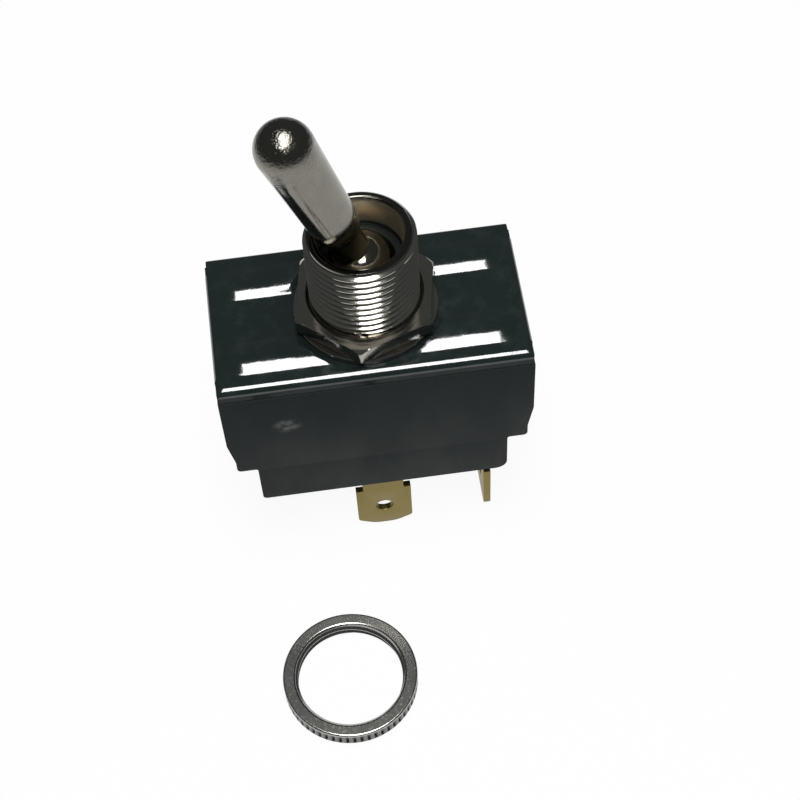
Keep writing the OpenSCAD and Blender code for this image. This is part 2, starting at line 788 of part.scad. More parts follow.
module throw_terminal(side) {
    outer = throw_x + strip_t / 2;
    reach = outer - fixed_x + foot_end;
    color(brass) pole(side) difference() {
        translate([outer, pole_pitch / 2, 0]) {
            translate([-strip_t / 2, 0, 0]) along_x(strip_t) blade_outline(throw_tip_rise);
            rotate(180) foot_fold(neck_w, reach);
        }
        translate([fixed_x, pole_pitch / 2, -base_z - 2 * strip_t])
            cylinder(r = rivet_r + fit_gap, h = 4 * strip_t);
    }
}

frame();
base();
insulator_sheet();
bushing();
lock_washer();
hex_nut();
face_nut();
bat_lever();
pivot_pin();
plunger_spring();
plunger();
actuator();
contact_arm(-1);  // contact_arm_front
contact_arm(1);  // contact_arm_back
moving_contact(-1);  // moving_contact_front
moving_contact(1);  // moving_contact_back
cradle(-1);  // cradle_front
cradle(1);  // cradle_back
common_rivet(-1);  // common_rivet_front
common_rivet(1);  // common_rivet_back
fixed_contact(-1);  // fixed_contact_front
fixed_contact(1);  // fixed_contact_back
common_terminal(-1);  // common_terminal_front
common_terminal(1);  // common_terminal_back
throw_terminal(-1);  // throw_terminal_front
throw_terminal(1);  // throw_terminal_back
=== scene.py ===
"""Panel toggle switch with its face nut lying in front of it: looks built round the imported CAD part."""

import math

import bmesh
import bpy
from mathutils import Euler, Matrix, Vector
from mathutils.geometry import delaunay_2d_cdt


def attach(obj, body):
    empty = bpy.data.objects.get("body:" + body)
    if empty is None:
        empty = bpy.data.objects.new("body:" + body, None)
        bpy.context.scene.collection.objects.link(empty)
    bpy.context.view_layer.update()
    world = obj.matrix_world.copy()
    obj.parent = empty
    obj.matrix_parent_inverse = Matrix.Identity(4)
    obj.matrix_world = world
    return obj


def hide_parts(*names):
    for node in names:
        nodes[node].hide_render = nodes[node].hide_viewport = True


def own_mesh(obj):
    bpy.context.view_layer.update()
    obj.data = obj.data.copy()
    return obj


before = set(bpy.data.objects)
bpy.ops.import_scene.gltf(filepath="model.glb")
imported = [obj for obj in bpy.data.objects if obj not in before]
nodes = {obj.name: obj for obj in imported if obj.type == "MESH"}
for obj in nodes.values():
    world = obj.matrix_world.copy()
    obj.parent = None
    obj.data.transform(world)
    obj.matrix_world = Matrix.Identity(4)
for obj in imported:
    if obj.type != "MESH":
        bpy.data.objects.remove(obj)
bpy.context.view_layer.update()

MM = 0.001
TAU = 2 * math.pi

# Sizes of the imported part, in millimetres and degrees, from where the bushing's axis meets the frame's top
FRAME_L, FRAME_D = 33.7, 18.3
SHEET_T, BEND_R = 0.6, 0.9
SKIRT_H, LEG_W, LEG_H = 1.65, 14.0, 9.8
CRIMP_H, CRIMP_IN = 3.4, 0.6
CORNER_CUT = 0.15
BEAD_PITCH, BEAD_W, BEAD_H, BEAD_X = 9.8, 4.3, 0.52, 13.7
PAD_R = 7.95
THREAD_R, MESH_R, PITCH = 5.87, 5.65, 0.9
BUSHING_H, CHAMFER = 12.2, 0.5
MOUTH_R, MOUTH_CHAMFER, LEDGE_Z, SEAT_R = 4.5, 0.35, 8.2, 3.7
FLANGE_R, FLANGE_T, BORE_LOW_R = 7.4, 1.1, 5.1
WASHER_R, WASHER_T = 7.75, 0.7
NUT_AF, NUT_T, NUT_TURN, NUT_CHAMFER = 14.29, 2.0, 20.0, 0.5
RING_R, RING_H, RING_X, RING_Y = 7.53, 2.0, -6.8, -28.6
KNURLS, KNURL_DEPTH, RING_RIM = 58, 0.22, 0.4
FLOOR_Z = -31.2
PIVOT_Z, TILT = 7.0, 18.6
BAT_L, BAT_TIP_R, BAT_LOW_R, BAT_LOW_A = 19.9, 3.06, 2.6, 7.4
BALL_R, NECK_R, STEM_R, STEM_L = 3.65, 1.9, 1.9, 13.0
TIP_BORE_R, SPRING_TOP_A = 1.25, 5.0
PIN_R, PIN_L = 0.8, 8.8

# Detail that only the looks have, in millimetres
BEAD_RUN = 0.3          # easing of a bead's end
BEAD_SOFT = 0.16        # softness of a bead's foot
PAD_EASE = 0.45         # blend from the flat pad into the beads
CRIMP_SOFT = 0.5        # softness of the crimp's bend
THREAD_DEPTH, RING_THREAD_DEPTH = 0.48, 0.3
WASHER_TEETH, WASHER_GAP = 10, 0.9
BASE_ROUND, BLADE_ROUND = 0.1, 0.06
CREASE, LOOSE_CREASE, TIGHT_CREASE = 32.0, 40.0, 25.0     # degrees


# ---- Materials ----

class Shader:
    """A node tree under construction, with the object's own millimetres as its coordinates."""

    def __init__(self, name):
        self.mat = bpy.data.materials.new(name)
        self.mat.use_nodes = True
        self.tree = self.mat.node_tree
        self.bsdf = next(n for n in self.tree.nodes if n.type == "BSDF_PRINCIPLED")
        coord = self.node("ShaderNodeTexCoord")
        scale = self.node("ShaderNodeVectorMath", operation="SCALE")
        scale.inputs["Scale"].default_value = 1 / MM
        self.link(coord.outputs["Object"], scale.inputs[0])
        self.mm = scale.outputs[0]
        self.height = None

    def node(self, kind, **props):
        n = self.tree.nodes.new(kind)
        for k, v in props.items():
            setattr(n, k, v)
        return n

    def link(self, a, b):
        self.tree.links.new(a, b)

    def put(self, socket, value):
        """Sets a socket to a value or links it to an output."""
        if hasattr(value, "is_output"):
            self.link(value, socket)
        else:
            socket.default_value = value

    def noise(self, scale, detail=3, rough=0.5, stretch=None):
        """Noise with about this many waves a millimetre."""
        n = self.node("ShaderNodeTexNoise")
        n.inputs["Scale"].default_value = scale
        n.inputs["Detail"].default_value = detail
        n.inputs["Roughness"].default_value = rough
        source = self.mm
        if stretch:
            m = self.node("ShaderNodeMapping")
            m.inputs["Scale"].default_value = stretch
            self.link(self.mm, m.inputs["Vector"])
            source = m.outputs[0]
        self.link(source, n.inputs["Vector"])
        return n.outputs["Fac"]

    def remap(self, value, low, high, to_low=0.0, to_high=1.0):
        """A soft step from one value to another."""
        n = self.node("ShaderNodeMapRange", interpolation_type="SMOOTHSTEP")
        for key, v in (("Value", value), ("From Min", low), ("From Max", high),
                       ("To Min", to_low), ("To Max", to_high)):
            self.put(n.inputs[key], v)
        return n.outputs["Result"]

    def math(self, operation, a, b=0.0):
        n = self.node("ShaderNodeMath", operation=operation)
        self.put(n.inputs[0], a)
        self.put(n.inputs[1], b)
        return n.outputs[0]

    def times(self, a, b):
        return self.math("MULTIPLY", a, b)

    def mix(self, fac, a, b):
        """Colour a at 0 and b at 1."""
        n = self.node("ShaderNodeMix", data_type="RGBA")
        self.put(n.inputs[0], fac)
        self.put(n.inputs[6], a if hasattr(a, "is_output") else (*a, 1))
        self.put(n.inputs[7], b if hasattr(b, "is_output") else (*b, 1))
        return n.outputs[2]

    def bump(self, height, depth_mm):
        """Adds a relief to those before it."""
        n = self.node("ShaderNodeBump")
        n.inputs["Strength"].default_value = 1.0
        n.inputs["Distance"].default_value = depth_mm * MM
        self.link(height, n.inputs["Height"])
        if self.height:
            self.link(self.height, n.inputs["Normal"])
        self.height = n.outputs[0]

    def near(self, centre, size):
        """1 at a place given in millimetres, falling to 0 at the given half-sizes."""
        m = self.node("ShaderNodeVectorMath", operation="SUBTRACT")
        self.link(self.mm, m.inputs[0])
        m.inputs[1].default_value = centre
        d = self.node("ShaderNodeVectorMath", operation="DIVIDE")
        self.link(m.outputs[0], d.inputs[0])
        d.inputs[1].default_value = size
        n = self.node("ShaderNodeVectorMath", operation="LENGTH")
        self.link(d.outputs[0], n.inputs[0])
        return self.remap(n.outputs["Value"], 0.3, 1.0, 1.0, 0.0)

    def radius(self, centre=(0, 0)):
        """Distance in millimetres from an upright axis."""
        m = self.node("ShaderNodeVectorMath", operation="SUBTRACT")
        self.link(self.mm, m.inputs[0])
        m.inputs[1].default_value = (*centre, 0)
        d = self.node("ShaderNodeVectorMath", operation="MULTIPLY")
        self.link(m.outputs[0], d.inputs[0])
        d.inputs[1].default_value = (1, 1, 0)
        n = self.node("ShaderNodeVectorMath", operation="LENGTH")
        self.link(d.outputs[0], n.inputs[0])
        return n.outputs["Value"]

    def level(self, low, high):
        """0 below a height in millimetres and 1 above another."""
        n = self.node("ShaderNodeSeparateXYZ")
        self.link(self.mm, n.inputs[0])
        return self.remap(n.outputs["Z"], low, high)

    def done(self, color, rough, metallic=0.0, **more):
        """Fills in the surface and gives the finished material."""
        b = self.bsdf.inputs
        self.put(b["Base Color"], color if hasattr(color, "is_output") else (*color, 1))
        self.put(b["Roughness"], rough)
        b["Metallic"].default_value = metallic
        for k, v in more.items():
            self.put(b[k.replace("_", " ")], v)
        if self.height:
            self.link(self.height, b["Normal"])
        return self.mat


def paint_material():
    """Glossy dark paint on steel, with orange peel, a few specks and a little haze."""
    s = Shader("frame_paint")
    tone = s.mix(s.noise(0.12), (0.006, 0.011, 0.0105), (0.009, 0.016, 0.015))
    haze = s.remap(s.noise(0.35, 5, 0.65), 0.45, 0.75)
    fleck = s.remap(s.noise(4.5, 3, 0.7), 0.66, 0.72)
    for scale, rough, depth in ((0.5, 0.4, 0.024), (1.6, 0.4, 0.007), (4.5, 0.5, 0.0022)):
        s.bump(s.noise(scale, 2, rough), depth)
    tone = s.mix(haze, tone, (0.016, 0.022, 0.023))
    tone = s.mix(s.times(fleck, 0.35), tone, (0.09, 0.10, 0.10))
    shine = s.remap(s.level(-1.0, -0.6), 0, 1, 0.12, 1.0)     # the skirts and legs are duller than the top
    return s.done(tone, s.remap(haze, 0, 1, 0.10, 0.18), Specular_IOR_Level=shine)


def phenolic_material():
    """Dull dark moulding with a fine grain, faint swirls and scuffs."""
    s = Shader("phenolic")
    swirl = s.noise(0.18, 4, 0.6, (1, 1, 0.45))
    tone = s.mix(swirl, (0.007, 0.0115, 0.012), (0.014, 0.0195, 0.0195))
    speck = s.remap(s.noise(7, 3, 0.6), 0.62, 0.72)
    scuff = s.times(s.near((-10.0, -9.25, -7.2), (1.9, 1.9, 1.5)), s.remap(s.noise(1.0, 4), 0.35, 0.62))
    tone = s.mix(s.times(speck, 0.25), tone, (0.06, 0.07, 0.07))
    tone = s.mix(s.times(scuff, 0.7), tone, (0.15, 0.16, 0.155))
    s.bump(s.noise(11, 3, 0.6), 0.006)
    s.bump(s.noise(0.9, 2), 0.01)
    return s.done(tone, s.remap(swirl, 0.3, 0.7, 0.5, 0.62), Specular_IOR_Level=0.15)


def plated_material(name, tone_a, tone_b, smooth, dull, marking=0.3, add=None):
    """Bright plating with duller patches, fine pits and handling marks.
    add takes the shader, tone and roughness and gives the piece's own tone and roughness."""
    s = Shader(name)
    patch = s.noise(0.4, 5, 0.6)
    marks = s.remap(s.noise(2.5, 5, 0.7), 0.5, 0.72)
    tone = s.mix(patch, tone_a, tone_b)
    tone = s.mix(s.times(marks, marking), tone, tuple(0.55 * c for c in tone_a))
    wear = s.math("ADD", s.times(patch, 0.5), s.times(marks, 0.5))
    rough = s.remap(wear, 0.2, 0.8, smooth, dull)
    if add:
        tone, rough = add(s, tone, rough)
    s.bump(s.noise(6, 3, 0.6), 0.0012)
    return s.done(tone, rough, 1.0)


def bushing_stain_and_shade(s, tone, rough):
    """Painted shade in the thread's grooves, and a yellow stain inside the mouth, lightened with painted
    light, with a painted highlight on its back wall and painted shade on its ledge.
    """
    # Painted shade: the thread's grooves are darkened
    groove_shade = s.remap(s.radius(), THREAD_R - 0.47, THREAD_R - 0.30, 1.0, 0.0)
    tone = s.mix(s.times(groove_shade, 0.85), tone, (0.05, 0.048, 0.042))
    inside = s.remap(s.radius(), MOUTH_R - 0.1, MOUTH_R + 0.3, 1.0, 0.0)
    # A yellow stain in the mouth, made lighter as painted light
    stain = s.mix(s.noise(0.8, 4), (0.60, 0.52, 0.38), (0.88, 0.77, 0.57))
    # Painted highlight: a brighter patch on the mouth's back wall
    stain = s.mix(s.near((2.0, 4.2, 10.2), (2.0, 1.6, 1.4)), stain, (1.0, 0.80, 0.58))
    # Painted shade: the ledge deep in the mouth, and what lies below it, are near black
    ledge_shade = s.level(LEDGE_Z + 0.2, LEDGE_Z + 0.8)
    stain = s.mix(ledge_shade, (0.02, 0.025, 0.023), stain)
    return s.mix(inside, tone, stain), s.math("ADD", rough, s.times(inside, 0.32))


def lever_wear(s, tone, rough):
    """Small dents, deeper round the tip."""
    lean = math.radians(TILT)
    tip = (-BAT_L * math.sin(lean), 0, PIVOT_Z + BAT_L * math.cos(lean))
    for scale, depth in ((1.1, 0.12), (3.4, 0.19)):
        s.bump(s.times(s.noise(scale, 3, 0.6), s.near(tip, (4.2, 4.2, 4.2))), depth)
    s.bump(s.noise(1.4, 3, 0.6), 0.006)
    return tone, rough


def ring_knurl_shade(s, tone, rough):
    """A knurl darkened with painted shade under the plain rim, darkest in its notches."""
    # Painted shade: the knurl below the rim is darkened, its notches most
    wall = s.remap(s.radius((RING_X, RING_Y)), RING_R - 0.34, RING_R - 0.24)
    under = FLOOR_Z + RING_H - RING_RIM
    low = s.level(under - 0.1, under + 0.05)
    dark = s.times(wall, s.math("SUBTRACT", 1.0, low))
    notch = s.remap(s.radius((RING_X, RING_Y)), RING_R - 0.22, RING_R - 0.05, 0.0, 1.0)
    knurl_shade = s.mix(notch, (0.03, 0.03, 0.028), (0.15, 0.147, 0.138))
    return s.mix(dark, tone, knurl_shade), s.math("ADD", rough, s.times(dark, 0.1))


def brass_material():
    """Rolled brass strip, dulled by air and fingers, with a fine grain along the strip."""
    s = Shader("brass_strip")
    stain = s.noise(0.7, 5, 0.65)
    tone = s.mix(stain, (0.19, 0.152, 0.052), (0.30, 0.24, 0.09))
    dark = s.remap(s.noise(1.6, 4, 0.6), 0.56, 0.78)
    tone = s.mix(s.times(dark, 0.25), tone, (0.11, 0.08, 0.035))
    s.bump(s.noise(3, 3, 0.6, (1, 1, 0.12)), 0.002)
    s.bump(s.noise(8, 2), 0.001)
    return s.done(tone, s.remap(stain, 0.3, 0.7, 0.36, 0.48), 1.0)


def plain_material(name, color, rough, metallic=0.0, grain=5.0):
    """An inner part's finish: one colour, mottled a little."""
    s = Shader(name)
    tone = s.mix(s.noise(0.8, 4), tuple(0.82 * c for c in color), tuple(min(1, 1.1 * c) for c in color))
    s.bump(s.noise(grain, 3, 0.6), 0.003)
    return s.done(tone, s.remap(s.noise(1.5, 3), 0.3, 0.7, rough - 0.06, rough + 0.06), metallic)


paint = paint_material()
phenolic = phenolic_material()
nickel = plated_material("nickel_plate", (0.34, 0.325, 0.29), (0.42, 0.40, 0.365), 0.13, 0.24)
bushing_nickel = plated_material("bushing_plate", (0.42, 0.405, 0.36), (0.52, 0.50, 0.45), 0.12, 0.22,
                                 add=bushing_stain_and_shade)
# The lever's plating is darker than the other nickel: painted shade for the darker surroundings it reflects
lever_nickel_shaded = plated_material("lever_plate", (0.17, 0.16, 0.14), (0.25, 0.24, 0.21), 0.10, 0.18,
                               0.2, lever_wear)
ring_nickel = plated_material("ring_plate", (0.30, 0.295, 0.28), (0.40, 0.395, 0.37), 0.18, 0.27,
                              0.12, ring_knurl_shade)
brass = brass_material()
copper = plain_material("copper_alloy", (0.62, 0.36, 0.22), 0.34, 1.0)
silver = plain_material("contact_silver", (0.78, 0.77, 0.74), 0.28, 1.0)
steel = plain_material("spring_steel", (0.52, 0.51, 0.49), 0.25, 1.0)
nylon = plain_material("nylon", (0.72, 0.69, 0.60), 0.42)
fibre = plain_material("fibre_sheet", (0.26, 0.19, 0.13), 0.7, 0.0, 3.0)


# ---- Geometry helpers ----

def placed(name, data):
    """An object with this data, in the scene."""
    ob = bpy.data.objects.new(name, data)
    bpy.context.scene.collection.objects.link(ob)
    return ob


def mesh_object(name, verts, faces, crease=CREASE, place=None):
    """A piece from points in millimetres: smooth, with creases kept sharp."""
    me = bpy.data.meshes.new(name)
    me.from_pydata([Vector(v) * MM for v in verts], [], faces)
    bm = bmesh.new()
    bm.from_mesh(me)
    bmesh.ops.remove_doubles(bm, verts=bm.verts, dist=2e-7)
    bmesh.ops.dissolve_degenerate(bm, edges=bm.edges, dist=1e-8)
    bmesh.ops.recalc_face_normals(bm, faces=bm.faces)
    bm.to_mesh(me)
    bm.free()
    if place:
        me.transform(place)
    shade(me, crease)
    return placed(name, me)


def shade(me, crease):
    """Smooth, with edges sharper than crease degrees kept."""
    for p in me.polygons:
        p.use_smooth = True
    me.set_sharp_from_angle(angle=math.radians(crease))


def turned(name, rows, segments, crease=CREASE, place=None, screw=None):
    """A closed turned piece. rows is a loop of points (r, z), or of functions of the angle that give one.
    screw is the first and last row of a thread and how many rows it moves on in a turn round the piece."""
    verts, faces = [], []
    n = len(rows)
    for i in range(segments):
        a = TAU * i / segments
        for row in rows:
            r, z = row(a) if callable(row) else row
            verts.append((r * math.cos(a), r * math.sin(a), z))

    def climbed(j):
        if screw and screw[0] <= j <= screw[1]:
            return max(screw[0], min(screw[1], j + screw[2]))
        return j

    for i in range(segments):
        last = i == segments - 1
        k = 0 if last else i + 1
        for j in range(n):
            m = (j + 1) % n
            to_j, to_m = (climbed(j), climbed(m)) if last else (j, m)
            faces.append((i * n + j, k * n + to_j, k * n + to_m, i * n + m))
    return mesh_object(name, verts, faces, crease, place)


def arc(cx, cz, r, a0, a1, n):
    """Points of an arc in a turned profile, angles in degrees."""
    return [(cx + r * math.cos(math.radians(a0 + (a1 - a0) * i / n)),
             cz + r * math.sin(math.radians(a0 + (a1 - a0) * i / n))) for i in range(n + 1)]


def smooth_step(x):
    """0 up to 0, 1 from 1, and a soft rise between."""
    x = min(1.0, max(0.0, x))
    return x * x * (3 - 2 * x)


# One turn of a thread: share of the pitch, and share of the depth there.
# The flanks have marks near both ends, which keep their smooth shading flat
THREAD_FORM = ((0.0, 0.04), (0.03, 0.0), (0.14, 0.0), (0.17, 0.04), (0.20, 0.155), (0.39, 0.88),
               (0.42, 0.96), (0.46, 1.0), (0.56, 1.0), (0.62, 0.92), (0.66, 0.82), (0.96, 0.12))


def thread_rows(crest, depth, low, high, side=-1, cap=None):
    """Rows of a thread from low to high, cut inward (side -1) or outward (+1), and held by a limit cap(z)."""
    marks = list(THREAD_FORM) + [(1.0, THREAD_FORM[0][1])]

    def radius(a, z):
        phase = ((z - low) / PITCH - a / TAU) % 1.0
        for (p, d), (q, e) in zip(marks, marks[1:]):
            if phase <= q:
                share = d + (e - d) * (phase - p) / (q - p)
                break
        r = crest + side * depth * share
        return r if cap is None else (max if side > 0 else min)(r, cap(z))

    def row(turns):
        def at(a):
            z = min(high, max(low, low + PITCH * (turns + a / TAU)))
            return radius(a, z), z
        return at

    count = math.ceil((high - low) / PITCH) + 1
    return [row(t + p) for t in range(-1, count) for p, _ in THREAD_FORM]


def cut(ob, cutter):
    """Takes one piece's shape out of another's, and removes the cutter."""
    m = ob.modifiers.new("cut", "BOOLEAN")
    m.operation = "DIFFERENCE"
    m.solver = "EXACT"
    m.object = cutter
    graph = bpy.context.evaluated_depsgraph_get()
    me = bpy.data.meshes.new_from_object(ob.evaluated_get(graph))
    ob.modifiers.clear()
    old = ob.data
    ob.data = me
    bpy.data.meshes.remove(old)
    bpy.data.objects.remove(cutter, do_unlink=True)
    shade(me, CREASE)
    return ob


def rounded_copy(node, width_mm):
    """A copy of a CAD node with its sharp edges rounded."""
    me = nodes[node].data.copy()
    me.name = node + "_look"
    me.materials.clear()
    bm = bmesh.new()
    bm.from_mesh(me)
    bmesh.ops.remove_doubles(bm, verts=bm.verts, dist=1e-7)
    bmesh.ops.dissolve_limit(bm, angle_limit=math.radians(0.3), verts=bm.verts, edges=bm.edges)
    sharp = [e for e in bm.edges if e.is_manifold and e.calc_face_angle(0) > math.radians(LOOSE_CREASE)]
    bmesh.ops.bevel(bm, geom=sharp, offset=width_mm * MM, offset_type="OFFSET", segments=2,
                    profile=0.5, affect="EDGES", clamp_overlap=True)
    bmesh.ops.triangulate(bm, faces=[f for f in bm.faces if len(f.verts) > 4])
    bm.to_mesh(me)
    bm.free()
    shade(me, TIGHT_CREASE)
    return placed(node + "_look", me)


def dress(ob, node, body, material):
    """Makes a piece the look of a CAD node, on its body."""
    ob.data.materials.clear()
    ob.data.materials.append(material)
    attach(ob, body)
    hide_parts(node)


def finish_node(node, material):
    """Gives a CAD node that is shown as it is its material."""
    ob = nodes[node]
    ob.data.materials.clear()
    ob.data.materials.append(material)


# ---- Frame ----

def fold(s, half):
    """Place along the plate and drop below it, s along the outside of a sheet folded at half."""
    start = half - BEND_R
    bend = BEND_R * math.pi / 2
    if s <= start:
        return s, 0.0
    if s <= start + bend:
        a = (s - start) / BEND_R
        return start + BEND_R * math.sin(a), BEND_R * (1 - math.cos(a))
    return half, BEND_R + s - start - bend


def leg_fold(s):
    """As fold, with the leg's crimped end leaning in after a soft bend."""
    x, drop = fold(s, FRAME_L / 2)
    over = drop - LEG_H
    slope = CRIMP_IN / CRIMP_H
    if over > -CRIMP_SOFT:
        t = (over + CRIMP_SOFT) / (2 * CRIMP_SOFT)
        x -= slope * CRIMP_SOFT * t * t if t < 1 else slope * over
    return x, drop


def bead_height(x, y):
    """Height of the plate's two long beads, with a soft foot and a flat pad round the bushing."""
    half = BEAD_W / 2
    rho = (half ** 2 + BEAD_H ** 2) / (2 * BEAD_H)
    run = max(0.0, abs(x) - BEAD_X + BEAD_RUN) * half / (half + BEAD_RUN)
    d = math.hypot(run, abs(y) - BEAD_PITCH / 2)
    if d > half + 0.6:
        return 0.0
    cap = math.sqrt(max(0.01, rho * rho - d * d)) - (rho - BEAD_H)
    k = BEAD_SOFT
    h = max(0.0, 0.5 * (cap + math.sqrt(cap * cap + k * k)) - 0.5 * k * math.exp(-abs(cap) / k) * 0.6)
    h *= 1 - smooth_step((d - half - 0.1) / 0.5)
    h = min(h, BEAD_H - 0.002)
    return h * smooth_step((math.hypot(x, y) - PAD_R) / PAD_EASE)


def positions(limit, fold_from, fold_to, top, leg):
    """Symmetric positions along the sheet: close together across a fold, wider on the top and the leg."""
    out, s = [0.0], 0.0
    while s < limit - 0.12:
        s += 0.16 if fold_from - 0.1 < s < fold_to + 0.1 else (top if s < fold_from else leg)
        out.append(s)
    out = [p for p in out if p < limit - 0.1]
    return [-p for p in reversed(out[1:])] + out


def flat_sheet():
    """The flat pattern in triangles: points and faces. u runs along the legs and v across the skirts."""
    bend = BEND_R * math.pi / 2
    u_fold, v_fold = FRAME_L / 2 - BEND_R, FRAME_D / 2 - BEND_R
    u_leg = u_fold + bend + LEG_H + CRIMP_H - BEND_R
    v_skirt = v_fold + bend + SKIRT_H - BEND_R
    u_cut = FRAME_L / 2 - CORNER_CUT
    half_leg = LEG_W / 2
    hole_r = THREAD_R + 0.05
    corners = [(u_leg, half_leg), (u_cut, half_leg), (u_cut, v_skirt), (-u_cut, v_skirt), (-u_cut, half_leg),
               (-u_leg, half_leg), (-u_leg, -half_leg), (-u_cut, -half_leg), (-u_cut, -v_skirt),
               (u_cut, -v_skirt), (u_cut, -half_leg), (u_leg, -half_leg)]
    points, edges = [], []

    def in_cross(u, v, margin=0.0):
        """Whether a place is on the plate with its skirts, or on the strip with its legs."""
        on_plate = abs(u) < u_cut - margin and abs(v) < v_skirt - margin
        return on_plate or (abs(v) < half_leg - margin and abs(u) < u_leg - margin)

    def ring(pts):
        base = len(points)
        points.extend(Vector(p) for p in pts)
        edges.extend((base + i, base + (i + 1) % len(pts)) for i in range(len(pts)))

    outline = []
    for i, (x, y) in enumerate(corners):
        ex, ey = corners[(i + 1) % len(corners)]
        count = max(1, round(math.hypot(ex - x, ey - y) / 0.35))
        outline += [(x + (ex - x) * j / count, y + (ey - y) * j / count) for j in range(count)]
    ring(outline)
    ring([(hole_r * math.cos(TAU * i / 96), hole_r * math.sin(TAU * i / 96)) for i in range(96)])

    us = positions(u_leg, u_fold, u_fold + bend, 0.3, 0.5)
    for v in positions(v_skirt, v_fold, v_fold + bend, 0.26, 0.35):
        points.extend(Vector((u, v)) for u in us
                      if math.hypot(u, v) >= hole_r + 0.15 and in_cross(u, v, 0.08))
    verts, _, faces, _, _, _ = delaunay_2d_cdt(points, edges, [], 0, 1e-6)

    def kept(f):
        u = sum(verts[i].x for i in f) / len(f)
        v = sum(verts[i].y for i in f) / len(f)
        return math.hypot(u, v) >= hole_r * 0.998 and in_cross(u, v)

    return verts, [f for f in faces if kept(f)]


def build_frame():
    """The folded sheet: the flat pattern bent along its folds and given its thickness."""
    verts, faces = flat_sheet()
    outer = []
    for p in verts:
        x, dx = leg_fold(abs(p.x))
        y, dy = fold(abs(p.y), FRAME_D / 2)
        drop = (dx ** 3 + dy ** 3) ** (1 / 3)
        outer.append(Vector((math.copysign(x, p.x), math.copysign(y, p.y), bead_height(p.x, p.y) - drop)))
    normals = [Vector() for _ in outer]
    oriented = []
    for f in faces:
        area = (verts[f[1]] - verts[f[0]]).cross(verts[f[2]] - verts[f[0]])
        f = list(f) if area > 0 else list(reversed(f))
        a, b, c = (outer[i] for i in f[:3])
        n = (b - a).cross(c - a)
        for i in f:
            normals[i] += n
        oriented.append(f)
    n = len(outer)
    up = Vector((0, 0, 1))
    inner = [p - (v.normalized() if v.length > 0 else up) * SHEET_T for p, v in zip(outer, normals)]
    rim = {}     # edges with a face on one side only
    for f in oriented:
        for i, a in enumerate(f):
            b = f[(i + 1) % len(f)]
            if (b, a) in rim:
                del rim[(b, a)]
            else:
                rim[(a, b)] = True
    all_faces = oriented + [[i + n for i in reversed(f)] for f in oriented]
    all_faces += [[b, a, a + n, b + n] for a, b in rim]
    used = sorted({i for f in all_faces for i in f})
    index = {old: new for new, old in enumerate(used)}
    both = outer + inner
    return mesh_object("frame_look", [both[i] for i in used],
                       [[index[i] for i in f] for f in all_faces], LOOSE_CREASE)


dress(build_frame(), "frame", "switch_body", paint)


# ---- Base ----

dress(rounded_copy("base", BASE_ROUND), "base", "switch_body", phenolic)


# ---- Bushing, nut, washer and ring ----

def build_bushing():
    """Threaded barrel with its flange under the plate, an open mouth, and a slot for the pivot pin."""
    flange_top = -SHEET_T - 0.05
    flange_low = flange_top - FLANGE_T
    start = WASHER_T + NUT_T

    def chamfer(z):
        return THREAD_R - max(0.0, z - (BUSHING_H - CHAMFER))

    rows = [(BORE_LOW_R, flange_low), (FLANGE_R - 0.2, flange_low), (FLANGE_R, flange_low + 0.2),
            (FLANGE_R, flange_top - 0.2), (FLANGE_R - 0.2, flange_top), (MESH_R, flange_top),
            (MESH_R, start - 0.05)]
    first = len(rows)
    rows += thread_rows(THREAD_R, THREAD_DEPTH, start, BUSHING_H - 0.06, -1, chamfer)
    screw = (first, len(rows) - 1, len(THREAD_FORM))
    lip_r, lip_z = MOUTH_R + MOUTH_CHAMFER, BUSHING_H - MOUTH_CHAMFER
    rows += [(THREAD_R - CHAMFER - 0.03, BUSHING_H), (lip_r + 0.02, BUSHING_H),
             (lip_r - 0.05, BUSHING_H - 0.04), (MOUTH_R + 0.04, lip_z + 0.06), (MOUTH_R, lip_z - 0.04),
             (MOUTH_R, LEDGE_Z + 0.12), (MOUTH_R - 0.1, LEDGE_Z)]
    lip = math.degrees(math.asin((LEDGE_Z - PIVOT_Z) / SEAT_R))
    rows += [(SEAT_R * math.cos(math.radians(lip)) + 0.05, LEDGE_Z)]
    rows += arc(0, PIVOT_Z, SEAT_R, lip - 1, 0, 8)
    rows += [(SEAT_R, PIVOT_Z - 4)]
    ob = turned("bushing_look", rows, 192, screw=screw)
    half, reach = PIN_R + 0.05, PIN_L / 2 + 0.1
    outline = [(half, flange_low - 1)]
    outline += arc(0, PIVOT_Z, half, 0, 180, 12)
    outline += [(-half, flange_low - 1)]
    n = len(outline)
    verts = [(x, y, z) for y in (-reach, reach) for x, z in outline]
    faces = [list(range(n)), list(reversed(range(n, 2 * n)))]
    faces += [[(i + 1) % n, i, i + n, (i + 1) % n + n] for i in range(n)]
    return cut(ob, mesh_object("slot_cutter", verts, faces))


dress(build_bushing(), "bushing", "switch_body", bushing_nickel)


def hexagon(a):
    """Radius of the nut's hexagon at an angle, its corners a little rounded."""
    t = (a - math.radians(NUT_TURN)) % (TAU / 6) - TAU / 12
    return min(NUT_AF / 2 / math.cos(t), NUT_AF / math.sqrt(3) - 0.06)


